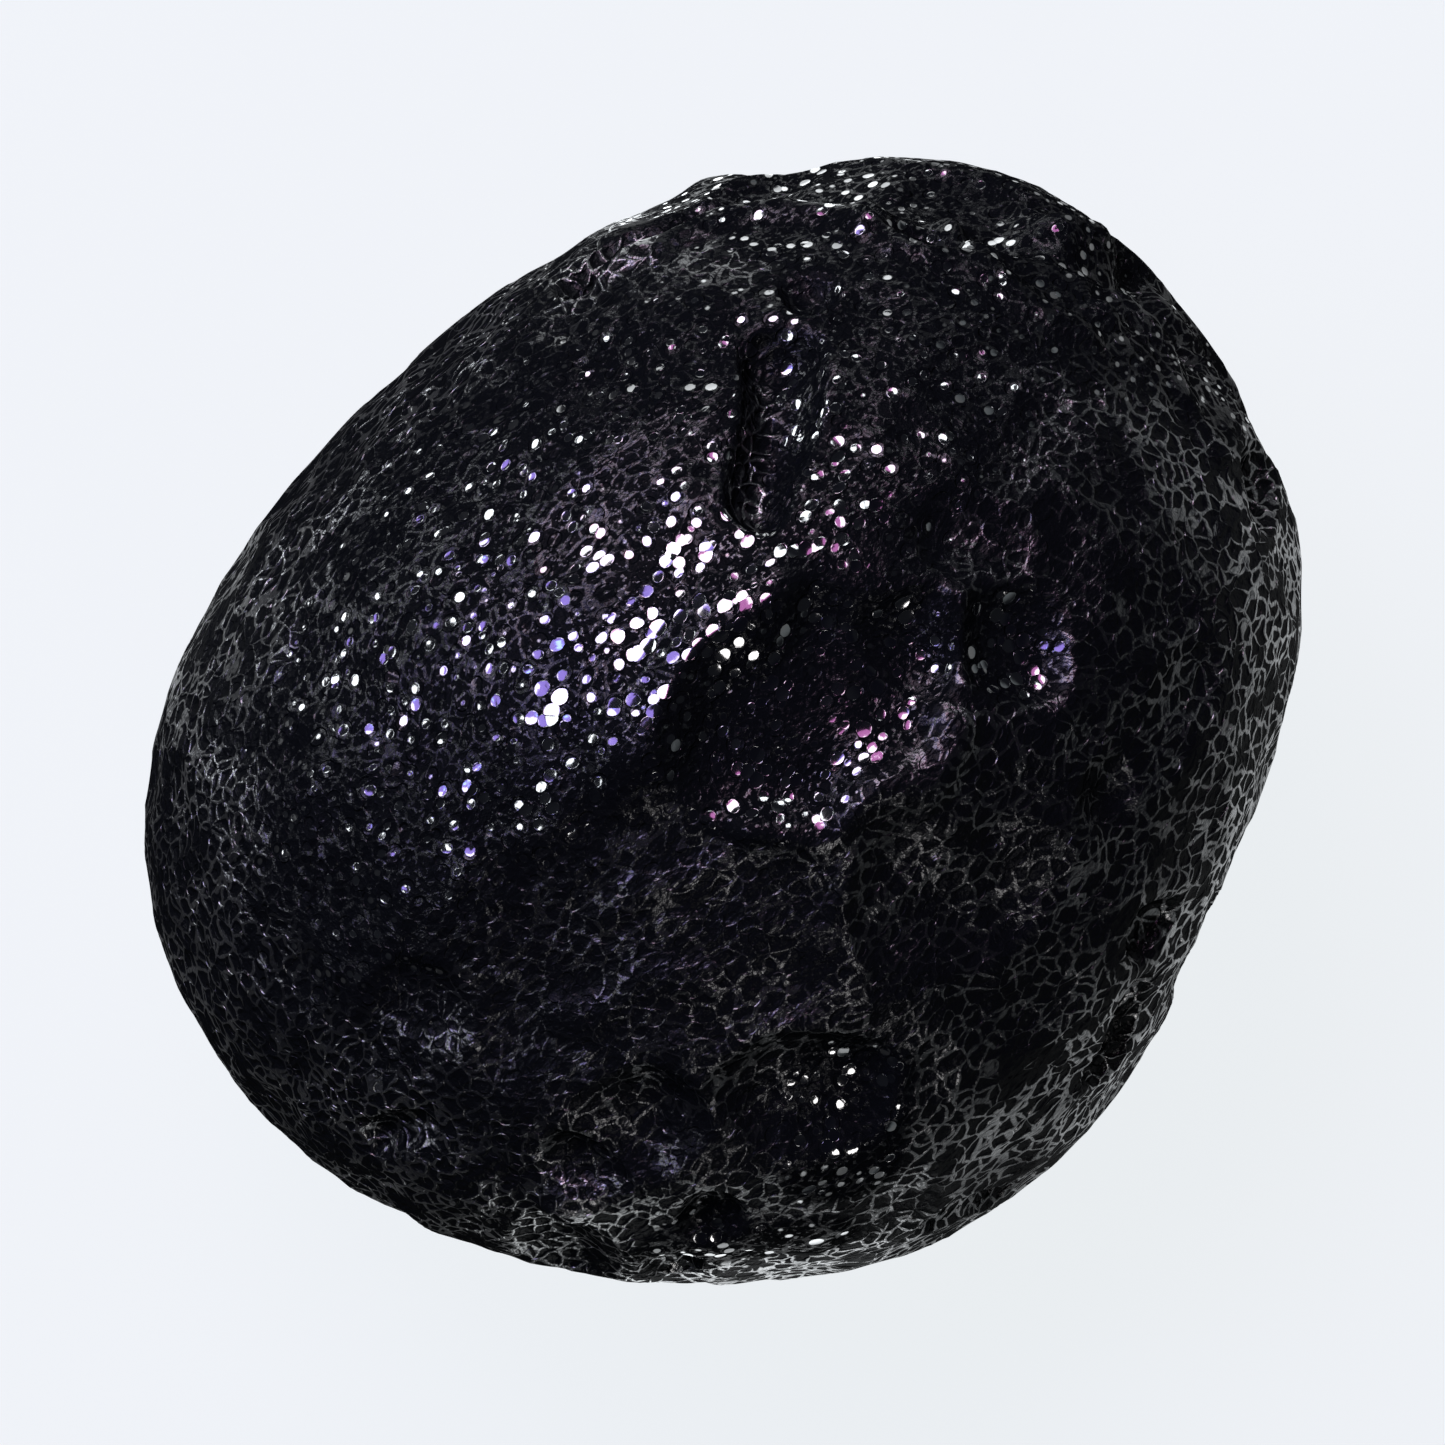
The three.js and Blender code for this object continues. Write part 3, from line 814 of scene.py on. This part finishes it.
# The floor's glow as the glass mirrors it: the azimuth of each fan of light, the cosines of the
# angles at which it starts and is full, and its brightness.
FLOOR_FANS = (
    (BRIGHT_SIDE, -0.3, 0.8, 1.6),
    (50, 0.95, 0.99, 9.0),
    (122, 0.98, 0.998, 1.0),
    (-130, 0.965, 0.99, 4.0),
)
FLOOR_GLOW = 0.2  # brightness outside the fans
PALENESS = 0.93  # brightness of the floor and the backdrop as they are seen
SHADE_FROM, SHADE_TO = 0.022, 0.036  # the glow is shaded off under the stone, in metres
SHADOW_SHARE = 0.012  # share of the floor's colour that shows the stone's shadow
FLOOR_HALF = 1.5  # half the floor's breadth, in metres
FLOOR_GAP = 0.02 * MM  # between the stone's foot and the floor

# The far glow as the glass mirrors it, by the cosine from a direction or the sine of elevation.
GLOW_COLOUR = (0.85, 0.95, 1.0, 1.0)
SIDE_GLOW = (-0.2, 0.7, 0.1, 1.7)  # from, to, and the brightness away from and on the bright side
HIGH_GLOW = ((125, 40), 0.4, 0.9, 0.0, 0.12)  # azimuth and elevation, from, to, brightness
LEAST_GLOW = 0.01

# How far the camera's aim is right of the stone's middle and above it in the picture, in mm.
AIM_RIGHT, AIM_UP = -1.41, 0.92

DAYLIGHT = (0.9, 0.95, 1.0)  # colour of most of the side lights
SIDE_SHARE = 1.33  # brightness of the side lights as a share of the key light's

# Round soft lights: name, azimuth, elevation, distance and breadth in metres, brightness as a
# share of the key light's, and colour.
LIGHTS = (
    ("key", 96, 54, 0.6, 0.28, 1.0, (0.95, 0.9, 1.0)),
    ("second key", 68, 54, 0.6, 0.33, 1.0, (0.97, 0.92, 1.0)),
    ("violet halo", 107, 53, 0.61, 0.42, 0.6, (0.4, 0.28, 1.0)),
    ("pink halo", 58, 56, 0.61, 0.38, 0.4, (0.95, 0.3, 0.85)),
    ("blue edge", 128, 52, 0.59, 0.06, 2.0, (0.15, 0.3, 1.0)),
    ("warm edge", 60, 64, 0.59, 0.06, 2.0, (1.0, 0.35, 0.3)),
    ("left side", 150, 44, 0.6, 0.13, SIDE_SHARE, DAYLIGHT),
    ("slot side", 102, 12, 0.6, 0.22, SIDE_SHARE, DAYLIGHT),
    ("lower side", -114, 38, 0.6, 0.16, SIDE_SHARE, (1.0, 0.97, 0.97)),
    ("low left side", 127, 24, 0.6, 0.12, SIDE_SHARE, DAYLIGHT),
    ("back side", 60, 38, 0.6, 0.12, SIDE_SHARE, DAYLIGHT),
    ("knobby side", 30, 36, 0.6, 0.14, SIDE_SHARE, DAYLIGHT),
)


def pale_floor(studio):
    """A floor that is evenly pale to look at and dimmer where the glass mirrors it."""
    material = bpy.data.materials.new("Pale floor")
    graph = shader_graph(material)
    colour = (*studio.floor_colour, 1.0)
    shaded = (*(SHADOW_SHARE * part for part in studio.floor_colour), 1.0)
    lit = graph.wire("ShaderNodeBsdfDiffuse", "BSDF", None, {"Color": shaded})
    pale = graph.wire(
        "ShaderNodeEmission", "Emission", None, {"Color": colour, "Strength": PALENESS})
    plain = graph.wire("ShaderNodeAddShader", "Shader", None, {0: lit, 1: pale})

    spot = graph.wire("ShaderNodeNewGeometry", "Position")
    out = graph.wire("ShaderNodeVectorMath", "Value", {"operation": "LENGTH"}, {0: spot})
    glow = FLOOR_GLOW
    for azimuth, start, full, brightness in FLOOR_FANS:
        toward = inner_product(graph, spot, tuple(direction_at(azimuth, 0))) / out
        glow = smooth_step(graph, toward, start, full) * brightness + glow
    glow = glow * smooth_step(graph, out, SHADE_FROM, SHADE_TO)
    mirrored = graph.wire(
        "ShaderNodeEmission", "Emission", None, {"Color": colour, "Strength": glow})
    seen = graph.wire("ShaderNodeLightPath", "Is Camera Ray")
    surface = graph.wire("ShaderNodeMixShader", "Shader", None, {0: seen, 1: mirrored, 2: plain})
    graph.add("ShaderNodeOutputMaterial", None, {"Surface": surface})
    return material


def studio_world(studio):
    """Pale to look at. As light it is dark overhead, with a dim glow on one side and low down."""
    world = bpy.data.worlds.new("Studio")
    graph = shader_graph(world)
    way = graph.wire("ShaderNodeTexCoord", "Generated")
    height = graph.wire("ShaderNodeSeparateXYZ", "Z", None, {"Vector": way})
    toward_side = inner_product(graph, way, tuple(direction_at(BRIGHT_SIDE, 0)))
    low_down = smooth_step(graph, height, 0.3, 0.0, 0.05, 1.0)
    low_down = low_down * smooth_step(graph, height, 0.9, 0.7)
    (azimuth, elevation), *high_glow = HIGH_GLOW
    toward_high = inner_product(graph, way, tuple(direction_at(azimuth, elevation)))
    strength = low_down * smooth_step(graph, toward_side, *SIDE_GLOW)
    strength = strength + smooth_step(graph, toward_high, *high_glow) + LEAST_GLOW
    light = graph.wire(
        "ShaderNodeBackground", "Background", None, {"Color": GLOW_COLOUR, "Strength": strength})
    backdrop = graph.wire(
        "ShaderNodeBackground", "Background", None,
        {"Color": (*studio.floor_colour, 1.0), "Strength": PALENESS})
    seen = graph.wire("ShaderNodeLightPath", "Is Camera Ray")
    both = graph.wire("ShaderNodeMixShader", "Shader", None, {0: seen, 1: light, 2: backdrop})
    graph.add("ShaderNodeOutputWorld", None, {"Surface": both})
    return world


def soft_light(name, azimuth, elevation, distance, breadth, brightness, colour):
    """A round soft light that faces the stone and is as bright at any breadth."""
    data = bpy.data.lights.new(name, "AREA")
    data.shape = "DISK"
    data.size = breadth
    data.color = colour
    data.energy = brightness * math.pi * math.pi * (breadth / 2) ** 2
    light = bpy.data.objects.new(name, data)
    aim = (CAD_LOW + CAD_HIGH) / 2
    way = Vector(direction_at(azimuth, elevation))
    light.location = aim + way * distance
    light.rotation_euler = way.to_track_quat("Z", "Y").to_euler()
    bpy.context.scene.collection.objects.link(light)


# ------------------------------------------------------------------ operators

class TEKTITE_OT_stone(bpy.types.Operator):
    """Build the stone, press its etch pits into it and give it its glass"""

    bl_idname = "tektite.build_stone"
    bl_label = "Build the stone"

    def execute(self, context):
        shape = context.scene.tektite_shape
        directions, quads = cube_sphere(shape.mesh_rows)
        points, (steep, glossy) = stone_points(directions, shape.foot_wear / MM)
        low, high = points.min(axis=0), points.max(axis=0)
        points = (points - low) / (high - low) * np.array(CAD_HIGH - CAD_LOW) + np.array(CAD_LOW)
        mesh = bpy.data.meshes.new("stone")
        mesh.from_pydata(points.tolist(), [], quads.tolist())
        mesh.attributes.new("etch_strength", "FLOAT", "POINT").data.foreach_set("value", steep)
        mesh.attributes.new("etch_gloss", "FLOAT", "POINT").data.foreach_set("value", glossy)
        stone = bpy.data.objects.new("stone", mesh)
        context.scene.collection.objects.link(stone)
        run_tree(stone, etching_tree(), {
            "Pit size": shape.large_pit_size / MM,
            "Pit depth": shape.large_pit_depth / MM,
            "Waviness": shape.waviness / MM,
            "Seed": shape.seed,
            "Material": black_glass(context.scene.tektite_glass),
        })
        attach(stone, BODY)
        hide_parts(NODE)
        return {"FINISHED"}


class TEKTITE_OT_studio(bpy.types.Operator):
    """Lay the pale floor and set up the soft light and the camera"""

    bl_idname = "tektite.build_studio"
    bl_label = "Build the studio"

    def execute(self, context):
        studio = context.scene.tektite_studio
        mesh = bpy.data.meshes.new("floor")
        corners = [(x * FLOOR_HALF, y * FLOOR_HALF, CAD_LOW.z - FLOOR_GAP)
                   for x, y in ((-1, -1), (1, -1), (1, 1), (-1, 1))]
        mesh.from_pydata(corners, [], [(0, 1, 2, 3)])
        mesh.materials.append(pale_floor(studio))
        floor = bpy.data.objects.new("floor", mesh)
        context.scene.collection.objects.link(floor)

        context.scene.world = studio_world(studio)
        for name, azimuth, elevation, distance, breadth, share, colour in LIGHTS:
            brightness = share * studio.key_light
            soft_light(name, azimuth, elevation, distance, breadth, brightness, colour)
        context.scene.view_settings.view_transform = "Standard"

        data = bpy.data.cameras.new("camera")
        data.lens = studio.lens
        camera = bpy.data.objects.new("camera", data)
        distance = studio.view_width * studio.lens / data.sensor_width
        middle = (CAD_LOW + CAD_HIGH) / 2
        right = Vector((math.cos(studio.roll), -math.sin(studio.roll), 0))
        up = Vector((math.sin(studio.roll), math.cos(studio.roll), 0))
        aim = middle + right * AIM_RIGHT * MM + up * AIM_UP * MM
        camera.location = aim + Vector((0, 0, distance))
        camera.rotation_euler = Euler((0, 0, -studio.roll))
        context.scene.collection.objects.link(camera)
        context.scene.camera = camera
        return {"FINISHED"}


class TEKTITE_PT_panel(bpy.types.Panel):
    """Lists the steps that build the tektite"""

    bl_idname = "TEKTITE_PT_panel"
    bl_label = "Tektite"
    bl_space_type = "VIEW_3D"
    bl_region_type = "UI"
    bl_category = "Tektite"

    def draw(self, context):
        scene = context.scene
        for settings in (scene.tektite_shape, scene.tektite_glass, scene.tektite_studio):
            box = self.layout.box()
            for name in settings.__annotations__:
                box.prop(settings, name)
        for operator in OPERATORS:
            self.layout.operator(operator.bl_idname)


OPERATORS = (TEKTITE_OT_stone, TEKTITE_OT_studio)
CLASSES = (StoneShape, GlassFinish, StudioSetup, *OPERATORS, TEKTITE_PT_panel)


def register():
    for cls in CLASSES:
        bpy.utils.register_class(cls)
    bpy.types.Scene.tektite_shape = PointerProperty(type=StoneShape)
    bpy.types.Scene.tektite_glass = PointerProperty(type=GlassFinish)
    bpy.types.Scene.tektite_studio = PointerProperty(type=StudioSetup)


def unregister():
    del bpy.types.Scene.tektite_studio
    del bpy.types.Scene.tektite_glass
    del bpy.types.Scene.tektite_shape
    for cls in reversed(CLASSES):
        bpy.utils.unregister_class(cls)


def main():
    register()
    bpy.ops.tektite.build_stone()
    bpy.ops.tektite.build_studio()


if __name__ == "__main__":
    main()
